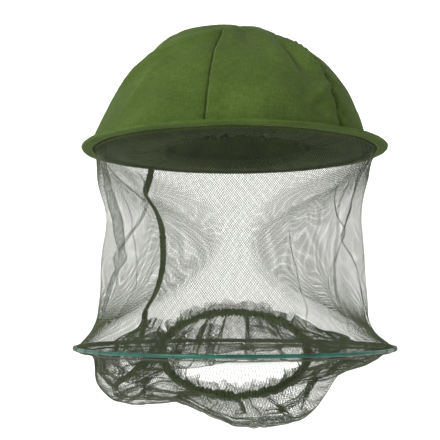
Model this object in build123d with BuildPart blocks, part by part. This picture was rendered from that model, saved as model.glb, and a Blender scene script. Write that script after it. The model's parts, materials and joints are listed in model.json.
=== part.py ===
"""Beekeeping veil: a gored cloth hat with a spring-wire brim, and net hung on a second hoop.

Millimetres, +Z up. The origin is the centre of the head opening, on the brim's middle plane.
The wearer faces -Y. The brim is flat, so every ring of the hat shares the Z axis.
"""

from build123d import *
from math import cos, degrees, radians, sin
import os

# ---- Driving dimensions ----
cloth = 0.9                  # woven cotton, as sewn
net_thickness = 1.2          # room that the slack net takes
sewing_gap = 0.1             # between curved pieces that are stitched together
body_gap = 0.3               # between pieces that move apart

brim_diameter = 330.0        # over the piping
brim_wire_diameter = 2.5
piping_cloth = 1.0
piping_tail = 8.0            # how far the binding reaches in over the brim cloth
hem_width = 16.0             # brim border outside the net
wire_slack = 0.05            # round each wire in its casing
ferrule_wall = 0.5
ferrule_length = 34.0
wire_end_gap = 1.0           # between the two ends of a bent ring

crown_ledge = 20.0           # brim border outside the foot of the crown
crown_height = 135.0         # over the brim's middle plane
gore_count = 6
first_seam_angle = -102.0    # about Z from +X: just left of the front, as the wearer looks out
tape_width = 10.0
tape_thickness = 0.5
tape_foot_height = 8.0
tape_top_radius = 14.0

head_width = 155.0           # oval head opening, ear to ear
head_depth = 195.0           # brow to nape
elastic_height = 8.0
elastic_thickness = 1.2
channel_slack = 0.2          # round the elastic in its channel
sleeve_overlap = 20.0        # cloth that the sleeve and the facing share

veil_drop = 212.0            # brim plane to hoop plane
veil_waist = 13.0            # how far the net hangs in from its top, a third of the way down
waist_share = 0.36           # depth of that waist, as a share of the drop
flank_share = 0.68           # depth at which the net starts to flare to the hoop
flank_spread = 4.0           # the net is this much wider there than at the waist
binding_height = 3.0
seam_angle = 137.0           # the net's seam, at the wearer's back left
seam_width = 6.0

hoop_diameter = 340.0        # over the plastic coating
hoop_core_diameter = 2.4
hoop_coating_wall = 0.6
loop_thread = 0.6            # thread that sews the wire to the net
loop_count = 36
hoop_band_height = 7.0       # doubled net behind the wire, to take the stitches

bag_depth = 72.0             # slack net below the hoop
bag_floor_inset = 40.0       # the floor of the bag starts this far inside the hoop
bag_flank_inset = 14.0       # the bag is this far inside the hoop at the flank
bag_flank_share = 0.4        # depth of that flank, as a share of the bag's depth
bag_rise_spread = 17.6       # the net slopes in by this much from the floor up to the neck band

neck_diameter = 155.0        # ring through the middle of the neck channel
neck_tilt = 31.5             # the band is low at the throat and high at the nape
neck_drop = 216.0            # brim plane to the band's centre
neck_elastic_diameter = 3.2
neck_cloth = 1.6             # the hem is gathered, so it is thick
ruffle_height = 9.0

# ---- Derived places ----
brim_radius = brim_diameter / 2
brim_wire_radius = brim_wire_diameter / 2
piping_bore = brim_wire_radius + wire_slack
piping_radius = piping_bore + piping_cloth
wire_ring_radius = brim_radius - piping_radius
brim_cloth_radius = wire_ring_radius - piping_bore - piping_cloth
tail_thickness = cloth + piping_cloth
piping_inner_radius = brim_cloth_radius - piping_tail

net_top_radius = brim_radius - hem_width
veil_waist_radius = net_top_radius - veil_waist
crown_foot_radius = brim_radius - crown_ledge
crown_rise = crown_height - cloth
gore_angle = 360 / gore_count

head_a = head_width / 2
head_b = head_depth / 2
channel_inside = cloth + channel_slack
channel_wall_out = channel_inside + elastic_thickness + channel_slack
channel_depth = channel_wall_out + cloth
channel_height = elastic_height + 2 * channel_slack + 2 * cloth
sleeve_radius = crown_foot_radius - cloth - tape_thickness - tape_foot_height
facing_inner_radius = sleeve_radius - sleeve_overlap

hoop_radius = hoop_diameter / 2
coating_radius = hoop_core_diameter / 2 + hoop_coating_wall
hoop_ring_radius = hoop_radius - coating_radius
loop_radius = coating_radius + sewing_gap + loop_thread / 2
band_radius = hoop_ring_radius - loop_radius - loop_thread / 2 - sewing_gap
band_inner_radius = band_radius - net_thickness
hoop_ferrule_radius = hoop_core_diameter / 2 + ferrule_wall

neck_ring_radius = neck_diameter / 2
neck_bore = neck_elastic_diameter / 2 + channel_slack
neck_channel_radius = neck_bore + neck_cloth
neck_plane = Plane(origin=(0, 0, -neck_drop), x_dir=(1, 0, 0),
                   z_dir=(0, -sin(radians(neck_tilt)), cos(radians(neck_tilt))))

os.makedirs("parts", exist_ok=True)
made = []


def save(piece, node):
    """Label a finished piece and write its STEP."""
    piece.label = node
    export_step(piece, f"parts/{node}.step")
    made.append(node)


def seam_angle_of(index):
    """Angle about Z of one gore seam."""
    return first_seam_angle + index * gore_angle


def crown_shell(inset, thickness, foot, top_radius, sweep_angle):
    """Slice of an elliptical dome, inset from the crown's outer face, that starts at +X."""
    outer_a = crown_foot_radius - inset
    outer_c = crown_rise - inset
    with BuildPart() as shell:
        with BuildSketch(Plane.XZ) as strip:
            with Locations((0, cloth)):
                Ellipse(outer_a, outer_c)
                Ellipse(outer_a - thickness, outer_c - thickness, mode=Mode.SUBTRACT)
            with Locations((top_radius, cloth + foot)):
                Rectangle(crown_foot_radius, crown_height, align=(Align.MIN, Align.MIN), mode=Mode.INTERSECT)
        revolve(axis=Axis.Z, revolution_arc=sweep_angle)
    return shell.part


def ring_around(major, height, minor, bore, start, sweep_angle):
    """Solid of a round tube or rod bent round the Z axis, from a start angle."""
    with BuildPart() as ring:
        with BuildSketch(Plane.XZ) as section:
            with Locations((major, height)):
                Circle(minor)
                if bore:
                    Circle(bore, mode=Mode.SUBTRACT)
        revolve(axis=Axis.Z, revolution_arc=sweep_angle)
    return ring.part.rotate(Axis.Z, start)


# ---- Crown: gores, and a tape over each seam ----
for index in range(gore_count):
    gore = crown_shell(0, cloth, 0, 0, gore_angle)
    save(gore.rotate(Axis.Z, seam_angle_of(index)), f"crown_panel_{index + 1}")

tape_reach = 90.0            # wedge, in degrees, that is wider than a tape everywhere
tape_shell = crown_shell(cloth + sewing_gap, tape_thickness, tape_foot_height, tape_top_radius, tape_reach)
for index in range(gore_count):
    with BuildPart() as tape:
        add(tape_shell.rotate(Axis.Z, -tape_reach / 2))
        with BuildSketch(Plane.XY) as strip_plan:
            Rectangle(crown_foot_radius, tape_width, align=(Align.MIN, Align.CENTER))
        extrude(amount=crown_height, mode=Mode.INTERSECT)
    save(tape.part.rotate(Axis.Z, seam_angle_of(index)), f"crown_seam_tape_{index + 1}")

# ---- Brim: two cloth rings, the folded piping, and the spring wire in it ----
with BuildPart() as brim_top:
    with BuildSketch(Plane.XY) as top_plan:
        Circle(brim_cloth_radius)
        Circle(sleeve_radius, mode=Mode.SUBTRACT)
    extrude(amount=cloth)
save(brim_top.part, "brim_top")

with BuildPart() as brim_facing:
    with BuildSketch(Plane.XY.offset(-cloth)) as facing_plan:
        Circle(brim_cloth_radius)
        Circle(facing_inner_radius, mode=Mode.SUBTRACT)
    extrude(amount=cloth)
save(brim_facing.part, "brim_facing")

ferrule_sweep = degrees(ferrule_length / wire_ring_radius)
brim_ferrule = ring_around(wire_ring_radius, 0, brim_wire_radius + ferrule_wall, brim_wire_radius,
                           90 - ferrule_sweep / 2, ferrule_sweep)
save(brim_ferrule, "brim_ferrule")

ferrule_pocket = ring_around(wire_ring_radius, 0, brim_wire_radius + ferrule_wall + wire_slack, 0,
                             90 - ferrule_sweep / 2 - wire_slack, ferrule_sweep + 2 * wire_slack)
with BuildPart() as brim_piping:
    with BuildSketch(Plane.XZ) as piping_section:
        with Locations((wire_ring_radius, 0)):
            Circle(piping_radius)
        with Locations((piping_inner_radius, 0)):
            Rectangle(wire_ring_radius - piping_inner_radius, 2 * tail_thickness,
                      align=(Align.MIN, Align.CENTER))
        with Locations((wire_ring_radius, 0)):
            Circle(piping_bore, mode=Mode.SUBTRACT)
        with Locations((piping_inner_radius, 0)):
            Rectangle(piping_tail, 2 * cloth, align=(Align.MIN, Align.CENTER), mode=Mode.SUBTRACT)
    revolve(axis=Axis.Z)
    add(ferrule_pocket, mode=Mode.SUBTRACT)
save(brim_piping.part, "brim_piping")

brim_gap_angle = degrees(wire_end_gap / wire_ring_radius)
brim_wire = ring_around(wire_ring_radius, 0, brim_wire_radius, 0,
                        90 + brim_gap_angle / 2, 360 - brim_gap_angle)
save(brim_wire, "brim_wire")

# ---- Head opening: sleeve, channel and elastic ----
with BuildPart() as head_sleeve:
    with BuildSketch(Plane.XY) as sleeve_plan:
        Circle(sleeve_radius)
        Ellipse(head_a + channel_depth, head_b + channel_depth, mode=Mode.SUBTRACT)
    extrude(amount=cloth)
save(head_sleeve.part, "head_sleeve")

with BuildPart() as head_channel:
    with BuildSketch(Plane.XY.offset(-channel_height / 2)) as channel_plan:
        Ellipse(head_a + channel_depth, head_b + channel_depth)
        Ellipse(head_a, head_b, mode=Mode.SUBTRACT)
    extrude(amount=channel_height)
    with BuildSketch(Plane.XY.offset(-channel_height / 2 + cloth)) as channel_hollow:
        Ellipse(head_a + channel_wall_out, head_b + channel_wall_out)
        Ellipse(head_a + cloth, head_b + cloth, mode=Mode.SUBTRACT)
    extrude(amount=channel_height - 2 * cloth, mode=Mode.SUBTRACT)
save(head_channel.part, "head_channel")

with BuildPart() as head_elastic:
    with BuildSketch(Plane.XY.offset(-elastic_height / 2)) as elastic_plan:
        Ellipse(head_a + channel_inside + elastic_thickness, head_b + channel_inside + elastic_thickness)
        Ellipse(head_a + channel_inside, head_b + channel_inside, mode=Mode.SUBTRACT)
    extrude(amount=elastic_height)
save(head_elastic.part, "head_elastic")

# ---- Veil: binding, upright net and its seam ----
net_head = -cloth
net_foot = -veil_drop + hoop_band_height / 2 + body_gap


def net_wall(inner_offset, outer_offset, drop, sweep_angle):
    """Slice of the upright net's wall between two offsets from its inner face, from +X."""
    spine = [
        (net_top_radius - net_thickness, net_head),
        (veil_waist_radius, -veil_drop * waist_share),
        (veil_waist_radius + flank_spread, -veil_drop * flank_share),
        (band_inner_radius, net_foot),
    ]
    with BuildPart() as wall:
        with BuildSketch(Plane.XZ) as section:
            with BuildLine():
                inner = Spline([(r + inner_offset, z) for r, z in spine])
                outer = Spline([(r + outer_offset, z) for r, z in spine])
                Line(inner @ 0, outer @ 0)
                Line(inner @ 1, outer @ 1)
            make_face()
            with Locations((0, net_head - drop)):
                Rectangle(2 * brim_diameter, 2 * veil_drop,
                          align=(Align.CENTER, Align.MAX), mode=Mode.INTERSECT)
        revolve(axis=Axis.Z, revolution_arc=sweep_angle)
    return wall.part


veil_net = net_wall(0, net_thickness, 0, 360)
save(veil_net, "veil_net")

seam_sweep = degrees(seam_width / veil_waist_radius)
veil_seam = net_wall(net_thickness + sewing_gap, 2 * net_thickness, binding_height + body_gap, seam_sweep)
save(veil_seam.rotate(Axis.Z, seam_angle - seam_sweep / 2), "veil_seam")

with BuildPart() as net_binding:
    with BuildSketch(Plane.XY.offset(net_head)) as binding_plan:
        Circle(net_top_radius + sewing_gap + cloth)
        Circle(net_top_radius + sewing_gap, mode=Mode.SUBTRACT)
    extrude(amount=-binding_height)
save(net_binding.part, "net_binding")

# ---- Lower hoop: cored and coated wire, ferrule, and the net band it is sewn to ----
hoop_gap_angle = degrees(wire_end_gap / hoop_ring_radius)
hoop_core = ring_around(hoop_ring_radius, -veil_drop, hoop_core_diameter / 2, 0,
                        90 + hoop_gap_angle / 2, 360 - hoop_gap_angle)
save(hoop_core, "hoop_core")

hoop_ferrule_sweep = degrees(ferrule_length / hoop_ring_radius)
hoop_ferrule = ring_around(hoop_ring_radius, -veil_drop, hoop_ferrule_radius, hoop_core_diameter / 2,
                           90 - hoop_ferrule_sweep / 2, hoop_ferrule_sweep)
save(hoop_ferrule, "hoop_ferrule")

stripped = hoop_ferrule_sweep + 2 * wire_slack
hoop_coating = ring_around(hoop_ring_radius, -veil_drop, coating_radius, hoop_core_diameter / 2,
                           90 + stripped / 2, 360 - stripped)
save(hoop_coating, "hoop_coating")

with BuildPart() as hoop_band:
    with BuildSketch(Plane.XY.offset(-veil_drop - hoop_band_height / 2)) as band_plan:
        Circle(band_radius)
        Circle(band_inner_radius, mode=Mode.SUBTRACT)
    extrude(amount=hoop_band_height)
save(hoop_band.part, "hoop_band")

with BuildPart(Plane.XY.offset(-veil_drop)) as hoop_loops:
    with PolarLocations(hoop_ring_radius, loop_count):
        Torus(loop_radius, loop_thread / 2, rotation=(90, 0, 0))
save(hoop_loops.part, "hoop_loops")

# ---- Bag: slack net from the hoop down, and back up to the neck band ----
bag_top = -veil_drop - hoop_band_height / 2 - sewing_gap
bag_floor = -veil_drop - bag_depth
bag_top_radius = band_radius
bag_mouth_radius = neck_ring_radius + neck_channel_radius + body_gap + net_thickness
bag_floor_outer_radius = hoop_ring_radius - bag_floor_inset
bag_floor_inner_radius = bag_mouth_radius + bag_rise_spread
bag_flank_radius = bag_top_radius - bag_flank_inset
bag_flank = bag_top - bag_depth * bag_flank_share
with BuildPart() as bag_net:
    with BuildSketch(Plane.XZ) as bowl_section:
        with BuildLine():
            outside = Spline([(bag_top_radius, bag_top), (bag_flank_radius, bag_flank),
                              (bag_floor_outer_radius, bag_floor)])
            inside = Spline([(bag_top_radius - net_thickness, bag_top),
                             (bag_flank_radius - net_thickness, bag_flank),
                             (bag_floor_outer_radius - net_thickness, bag_floor + net_thickness)])
            floor_corner = (bag_floor_inner_radius - net_thickness, bag_floor)
            floor_top = (bag_floor_inner_radius - net_thickness, bag_floor + net_thickness)
            Polyline(outside @ 1, floor_corner, floor_top, inside @ 1)
            Line(inside @ 0, outside @ 0)
        make_face()
    revolve(axis=Axis.Z)
    with BuildSketch(Plane.XY.offset(bag_floor)) as rise_foot:
        Circle(bag_floor_inner_radius)
    with BuildSketch(neck_plane.offset(-ruffle_height / 2)) as rise_head:
        Circle(bag_mouth_radius)
    loft()
    with BuildSketch(Plane.XY.offset(bag_floor)) as core_foot:
        Circle(bag_floor_inner_radius - net_thickness)
    with BuildSketch(neck_plane.offset(-ruffle_height / 2)) as core_head:
        Circle(bag_mouth_radius - net_thickness)
    loft(mode=Mode.SUBTRACT)
save(bag_net.part, "bag_net")

# ---- Neck band: gathered channel, its elastic, and the free edge above it ----
def neck_ring(minor, bore=0.0):
    """Solid of a round ring in the tilted plane of the neck band."""
    with BuildPart(neck_plane) as ring:
        Torus(neck_ring_radius, minor)
        if bore:
            Torus(neck_ring_radius, bore, mode=Mode.SUBTRACT)
    return ring.part


save(neck_ring(neck_channel_radius, neck_bore), "neck_channel")
save(neck_ring(neck_elastic_diameter / 2), "neck_elastic")

with BuildPart() as neck_ruffle:
    with BuildSketch(neck_plane.offset(neck_channel_radius + sewing_gap)) as ruffle_plan:
        Circle(neck_ring_radius + net_thickness / 2)
        Circle(neck_ring_radius - net_thickness / 2, mode=Mode.SUBTRACT)
    extrude(amount=ruffle_height)
save(neck_ruffle.part, "neck_ruffle")

print(len(made), "nodes written")
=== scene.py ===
# %% [markdown]
# # A beekeeping veil
#
# The veil is a cloth hat with a wired brim, a tube of net down to a second hoop, and a slack
# bag of net that turns back up to an elastic band round the neck. The frame holds where every
# piece goes; this file gives each of them its cloth, thread or wire.

# %% Load the frame
import json
import math

import bpy
import numpy as np
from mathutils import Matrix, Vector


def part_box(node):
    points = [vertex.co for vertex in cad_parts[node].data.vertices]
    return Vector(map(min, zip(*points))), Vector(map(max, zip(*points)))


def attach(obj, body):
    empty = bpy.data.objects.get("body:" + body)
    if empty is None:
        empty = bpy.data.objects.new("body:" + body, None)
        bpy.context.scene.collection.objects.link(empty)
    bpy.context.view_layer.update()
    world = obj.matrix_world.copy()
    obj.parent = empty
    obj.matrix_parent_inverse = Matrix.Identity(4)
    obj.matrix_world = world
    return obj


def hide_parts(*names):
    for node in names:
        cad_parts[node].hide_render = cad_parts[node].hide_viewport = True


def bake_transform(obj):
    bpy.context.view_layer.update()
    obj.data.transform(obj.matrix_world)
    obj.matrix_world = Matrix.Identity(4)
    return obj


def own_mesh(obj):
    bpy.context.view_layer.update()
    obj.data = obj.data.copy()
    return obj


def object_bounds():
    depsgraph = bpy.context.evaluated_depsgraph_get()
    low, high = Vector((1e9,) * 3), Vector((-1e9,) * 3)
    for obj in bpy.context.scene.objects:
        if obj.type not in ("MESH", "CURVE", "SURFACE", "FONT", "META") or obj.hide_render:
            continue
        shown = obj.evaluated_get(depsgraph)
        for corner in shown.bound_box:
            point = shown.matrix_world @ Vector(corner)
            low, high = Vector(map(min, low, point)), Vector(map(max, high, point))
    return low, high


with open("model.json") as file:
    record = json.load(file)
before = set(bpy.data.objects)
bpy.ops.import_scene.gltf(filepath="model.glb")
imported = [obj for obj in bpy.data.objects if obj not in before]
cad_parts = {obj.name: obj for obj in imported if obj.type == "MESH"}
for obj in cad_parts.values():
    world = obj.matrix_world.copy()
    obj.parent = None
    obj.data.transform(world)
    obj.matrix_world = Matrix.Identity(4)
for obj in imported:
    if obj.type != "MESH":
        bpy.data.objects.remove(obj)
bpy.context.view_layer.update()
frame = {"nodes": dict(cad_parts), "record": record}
mounts = {m["name"]: m for m in frame["record"]["mounts"]}

# %% [markdown]
# ## The camera
#
# The view is from the front, from below the brim and looking slightly up, as one stands
# before a wearer who is a little taller. It comes first, so every later choice of detail is
# made for a known distance.

# %% Camera
MM = 0.001
camera_data = bpy.data.cameras.new("camera")
camera_data.lens = 73.7
camera_data.sensor_width = 36.0
camera = bpy.data.objects.new("camera", camera_data)
bpy.context.scene.collection.objects.link(camera)
camera.location = (-0.0156, -0.970, -0.164)
camera.rotation_euler = (math.radians(90 + 5.2), 0, 0)
bpy.context.scene.camera = camera

# %% [markdown]
# ## Sizes read from the frame
#
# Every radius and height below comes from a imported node's box, so the cloth lands on the wire,
# the band and the elastic that were designed for it. Azimuth is measured from the front, where
# the wearer looks, and grows towards +X.

# %% Radii and heights
def reach(node):
    """Half the width of a round node, and its lowest and highest points."""
    low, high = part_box(node)
    return (high[0] - low[0]) / 2, low[2], high[2]


brim_edge, piping_low, piping_high = reach("brim_piping")
brim_cloth_edge, cloth_level, cloth_top = reach("brim_top")
cloth = cloth_top - cloth_level
net_head_radius, binding_foot, net_head = reach("net_binding")
net_head_radius -= cloth
band_radius, band_foot, band_head = reach("hoop_band")
hoop_edge, hoop_low, hoop_high = reach("hoop_coating")
hoop_level = (hoop_low + hoop_high) / 2
wire_radius = (hoop_high - hoop_low) / 2
crown_box = [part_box(f"crown_panel_{k}") for k in range(1, 7)]
crown_foot = min(low[2] for low, high in crown_box)
crown_top = max(high[2] for low, high in crown_box)
crown_radius = max(high[0] for low, high in crown_box)
head_half = np.array(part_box("head_elastic")[1][:2])
channel_half = np.array(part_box("head_channel")[1][:2])
neck_centre = np.array(mounts["neck_opening"]["pos_m"])
neck_down = np.array(mounts["neck_opening"]["axis"])
neck_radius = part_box("neck_ruffle")[1][0] - 0.6 * MM
print(f"brim {2 * brim_edge:.3f} m, hoop {2 * hoop_edge:.3f} m at {hoop_level:.3f} m")
print(f"neck {2 * neck_radius:.3f} m, veil drop {net_head - band_head:.3f} m")

# %% [markdown]
# ## Grids
#
# Cloth is a surface of two parameters, so every cloth piece starts as a grid of points worked
# out as whole arrays. A grid can close on itself round the head. It carries a UV map in metres
# along the cloth, which the weave follows.

# %% Mesh from a grid of points
def link(name, mesh, body, material):
    """Put a finished mesh in the scene as a piece that rides on a body, or on none when no body is given.
    """
    piece = bpy.data.objects.new(name, mesh)
    bpy.context.scene.collection.objects.link(piece)
    mesh.materials.append(material)
    mesh.polygons.foreach_set("use_smooth", np.ones(len(mesh.polygons), bool))
    if body:
        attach(piece, body)
    return piece


def grid_faces(rows, columns, closed=False):
    """Quads of a rows by columns grid whose row direction may close on itself."""
    r, c = np.meshgrid(np.arange(rows if closed else rows - 1), np.arange(columns - 1), indexing="ij")
    r, c = r.ravel(), c.ravel()
    following = (r + 1) % rows
    return np.stack([r * columns + c, following * columns + c,
                     following * columns + c + 1, r * columns + c + 1], 1)


def grid_mesh(name, points, closed=False):
    """Mesh of a (rows, columns, 3) array, with UVs in metres along both directions."""
    rows, columns = points.shape[:2]
    faces = grid_faces(rows, columns, closed)
    mesh = bpy.data.meshes.new(name)
    mesh.from_pydata(points.reshape(-1, 3), [], faces)
    step_u = np.linalg.norm(np.diff(points, axis=0, append=points[:1] if closed else points[-1:]), axis=2)
    step_v = np.linalg.norm(np.diff(points, axis=1, append=points[:, -1:]), axis=2)
    u = np.concatenate([[0], np.cumsum(step_u.mean(1))])
    v = np.concatenate([[0], np.cumsum(step_v.mean(0))])
    r, c = faces[:, 0] // columns, faces[:, 0] % columns
    corners = np.stack([np.stack([u[r], v[c]], 1), np.stack([u[r + 1], v[c]], 1),
                        np.stack([u[r + 1], v[c + 1]], 1), np.stack([u[r], v[c + 1]], 1)], 1)
    layer = mesh.uv_layers.new(name="cloth")
    layer.data.foreach_set("uv", corners.astype(np.float32).ravel())
    mesh.validate()
    return mesh


def thicken(piece, thickness, offset=-1.0):
    """Give a sheet its wall with a live Solidify; offset -1 keeps the outer face where it is."""
    wall = piece.modifiers.new("wall", "SOLIDIFY")
    wall.thickness = thickness
    wall.offset = offset
    return piece


# %% [markdown]
# ## Bells and waves
#
# Cloth is never smooth, but it is never random either. A bell shapes one crease, pleat or
# pucker. A short sum of sine waves with seeded phases gives the slow unevenness between them.
# Waves that go round the head turn a whole number of times, so they meet at the back.

# %% Small numpy helpers
def bump(distance, width):
    """A bell: 1 at distance 0 that fades as exp(-(distance / width) squared)."""
    return np.exp(-(distance / width) ** 2)


def turn_gap(a, b):
    """Smallest signed angle from b to a, both in radians."""
    return (a - b + np.pi) % (2 * np.pi) - np.pi


def waves(x, y, seed, count=9, low=1.0, high=4.0):
    """Smooth noise: a seeded sum of sine waves of x and y, about -1 to 1."""
    rng = np.random.default_rng(seed)
    total = 0.0
    for _ in range(count):
        fx, fy = rng.uniform(low, high, 2) * rng.choice([-1, 1], 2)
        total = total + rng.uniform(0.5, 1) * np.sin(fx * x + fy * y + rng.uniform(0, 2 * np.pi))
    return total / math.sqrt(count)


def round_waves(azimuth, s, seed, turns):
    """Noise that closes round the head: waves of whole turns in azimuth, drifting with s."""
    rng = np.random.default_rng(seed)
    total = 0.0
    for n in turns:
        total = total + rng.uniform(0.5, 1) * np.sin(n * azimuth + rng.uniform(0, 2 * np.pi)
                                                     + rng.uniform(-2.5, 2.5) * s)
    return total / math.sqrt(len(turns))


# %% [markdown]
# ## Materials
#
# One helper adds a node with its settings and links. Each finish below is named for what the
# real one is made of. Weave and stitch sizes are real millimetres.

# %% Colours and nodes
def linear(hex_colour):
    """sRGB hex to the linear RGBA that shaders take."""
    srgb = [int(hex_colour[k:k + 2], 16) / 255 for k in (1, 3, 5)]
    return tuple(c / 12.92 if c <= 0.04045 else ((c + 0.055) / 1.055) ** 2.4 for c in srgb) + (1.0,)


def node(tree, kind, links=(), **settings):
    """Add a node, set its inputs or attributes by name, and link (input name, source socket) pairs."""
    made = tree.nodes.new(kind)
    for name, value in settings.items():
        label = name.replace("_", " ")
        found = [s for s in made.inputs if s.name.lower() == label.lower() or s.identifier == name]
        if found and not hasattr(made, name):
            found[0].default_value = value
        else:
            setattr(made, name, value)
    for name, source in links:
        target = made.inputs[name]
        tree.links.new(source, target)
    return made


def new_material(name, roughness, sheen=0.0, specular=0.5, coat=0.0):
    """A Principled material with its constant sockets set; returns material, tree and shader."""
    material = bpy.data.materials.new(name)
    material.use_nodes = True
    tree = material.node_tree
    shader = tree.nodes["Principled BSDF"]
    shader.inputs["Roughness"].default_value = roughness
    shader.inputs["Sheen Weight"].default_value = sheen
    shader.inputs["Specular IOR Level"].default_value = specular
    shader.inputs["Coat Weight"].default_value = coat
    return material, tree, shader


def colour_ramp(tree, factor, *stops):
    """Ramp between (position, hex) stops, driven by a factor socket."""
    ramp = node(tree, "ShaderNodeValToRGB", [("Fac", factor)])
    while len(ramp.color_ramp.elements) < len(stops):
        ramp.color_ramp.elements.new(0.5)
    for element, (position, colour) in zip(ramp.color_ramp.elements, stops):
        element.position = position
        element.color = linear(colour)
    return ramp.outputs["Color"]


# %% [markdown]
# ### Cotton drill
#
# The hat is dyed cotton: a plain weave of threads about 0.6 mm apart, uneven in thickness, so
# the dye shows as fine slubs. Two crossed waves on the cloth's own UV map make the weave, and
# a stretched noise makes the slubs. It is matt, with a faint bloom at grazing angles.

# %% Woven cotton
def woven_cotton(name, thread_mm, dark, middle, light):
    """Plain-weave cloth whose threads follow the piece's UV map in metres."""
    material, tree, shader = new_material(name, roughness=0.92, sheen=0.03, specular=0.08)
    shader.inputs["Sheen Roughness"].default_value = 0.6
    place = node(tree, "ShaderNodeUVMap", uv_map="cloth").outputs["UV"]
    body = node(tree, "ShaderNodeTexCoord").outputs["Object"]
    per_metre = 2 * math.pi / (thread_mm * MM) / 20
    warp = node(tree, "ShaderNodeTexWave", [("Vector", place)], bands_direction="X",
                Scale=per_metre, Distortion=0.6, Detail=1.0)
    weft = node(tree, "ShaderNodeTexWave", [("Vector", place)], bands_direction="Y",
                Scale=per_metre, Distortion=0.6, Detail=1.0)
    weave = node(tree, "ShaderNodeMath", [(0, warp.outputs["Fac"]), (1, weft.outputs["Fac"])],
                 operation="MULTIPLY").outputs[0]
    stretch = node(tree, "ShaderNodeMapping", [("Vector", place)], Scale=(0.35, 2.2, 1.0)).outputs[0]
    slub = node(tree, "ShaderNodeTexNoise", [("Vector", stretch)], Scale=420.0, Detail=3.0).outputs["Fac"]
    cross_stretch = node(tree, "ShaderNodeMapping", [("Vector", place)], Scale=(2.2, 0.35, 1.0)).outputs[0]
    cross_slub = node(tree, "ShaderNodeTexNoise", [("Vector", cross_stretch)], Scale=420.0,
                      Detail=3.0).outputs["Fac"]
    patches = node(tree, "ShaderNodeTexNoise", [("Vector", body)], Scale=24.0, Detail=4.0).outputs["Fac"]
    slubs = node(tree, "ShaderNodeMath", [(0, slub), (1, cross_slub)], operation="ADD").outputs[0]
    mottled = node(tree, "ShaderNodeMath", [(0, slubs), (1, patches)], operation="ADD").outputs[0]
    share = node(tree, "ShaderNodeMath", [(0, mottled)], operation="DIVIDE")
    share.inputs[1].default_value = 3.0
    colour = colour_ramp(tree, share.outputs[0], (0.34, dark), (0.5, middle), (0.66, light))
    tree.links.new(colour, shader.inputs["Base Color"])
    height = node(tree, "ShaderNodeMath", [(0, weave), (1, slub)], operation="ADD").outputs[0]
    relief = node(tree, "ShaderNodeBump", [("Height", height)], Strength=0.55, Distance=0.25 * MM)
    tree.links.new(relief.outputs["Normal"], shader.inputs["Normal"])
    return material


hat_cotton = woven_cotton("olive cotton drill", 0.6, "#324115", "#3d4f1f", "#4b5f27")
# The brim's underside, the head sleeve and its channel take the same olive drill in darker colours: painted
# shade for the shade that falls under the brim.
shaded_cotton = woven_cotton("olive cotton drill, darkened with painted shade", 0.6, "#1c230f", "#2a3319", "#3f4a28")
tape_cotton = woven_cotton("olive cotton seam tape", 0.8, "#2d3819", "#3a4722", "#48572b")

# %% [markdown]
# ### Thread and gathered net
#
# The net is knitted from a stiff polyester thread of about 0.35 mm, dyed dark olive. One
# thread is too thin to show any spin, so it gets only a slow drift of dye. Where net is
# gathered tight it reads as a cloth of its own, with a cell every 1.2 mm and deep relief, and
# its hollows are darkened with painted shade.

# %% Spun thread and gathered net
def spun_thread(name, dark, light, roughness=0.7):
    """Dyed thread whose colour drifts a little over a few centimetres."""
    material, tree, shader = new_material(name, roughness=roughness, sheen=0.1, specular=0.3)
    place = node(tree, "ShaderNodeTexCoord").outputs["Object"]
    drift = node(tree, "ShaderNodeTexNoise", [("Vector", place)], Scale=60.0, Detail=3.0).outputs["Fac"]
    tree.links.new(colour_ramp(tree, drift, (0.35, dark), (0.65, light)), shader.inputs["Base Color"])
    return material


net_thread = spun_thread("knitted polyester net", "#2f3820", "#404b2b")
sewing_thread = spun_thread("polyester sewing thread", "#5d6a48", "#7c8a60", 0.6)
hoop_thread = spun_thread("dark polyester sewing thread", "#26402f", "#35533c", 0.6)


def bunched_net(name, dark, light):
    """Net gathered so tight that it reads as cloth: fine cells on the UV map, with deep relief and painted
    shade that darkens each cell towards its sunken edge.
    """
    material, tree, shader = new_material(name, roughness=0.85, sheen=0.15, specular=0.2)
    place = node(tree, "ShaderNodeUVMap", uv_map="cloth").outputs["UV"]
    cells = node(tree, "ShaderNodeTexVoronoi", [("Vector", place)], Scale=1 / (1.2 * MM), Randomness=0.6)
    body = node(tree, "ShaderNodeTexCoord").outputs["Object"]
    drift = node(tree, "ShaderNodeTexNoise", [("Vector", body)], Scale=180.0, Detail=4.0).outputs["Fac"]
    tone = node(tree, "ShaderNodeMath", [(0, cells.outputs["Distance"]), (1, drift)], operation="MULTIPLY")
    # Painted shade: the colour darkens with the cell distance, in the same hollows that the bump sinks; the
    # drift adds uneven dye.
    colour = colour_ramp(tree, tone.outputs[0], (0.1, light), (0.4, dark))
    tree.links.new(colour, shader.inputs["Base Color"])
    relief = node(tree, "ShaderNodeBump", [("Height", cells.outputs["Distance"])], Strength=0.8,
                  Distance=0.4 * MM)
    relief.invert = True
    tree.links.new(relief.outputs["Normal"], shader.inputs["Normal"])
    return material


gathered_net = bunched_net("gathered polyester net", "#20270f", "#3d4826")

# %% [markdown]
# ### Coated wire, steel and elastic
#
# The hoop is spring wire in a teal plastic sleeve. The sleeve is extruded, so it is smooth and
# keeps a clear highlight. Drawn steel and knitted elastic are hidden in their casings, and
# show only where the wire ends meet or where a channel gapes.

# %% Plastic, steel and elastic
hoop_plastic, tree, shader = new_material("teal extruded PVC coating", roughness=0.38, specular=0.35)
place = node(tree, "ShaderNodeTexCoord").outputs["Object"]
streak = node(tree, "ShaderNodeTexNoise", [("Vector", place)], Scale=35.0, Detail=2.0).outputs["Fac"]
tree.links.new(colour_ramp(tree, streak, (0.35, "#00382c"), (0.65, "#055446")), shader.inputs["Base Color"])

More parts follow.
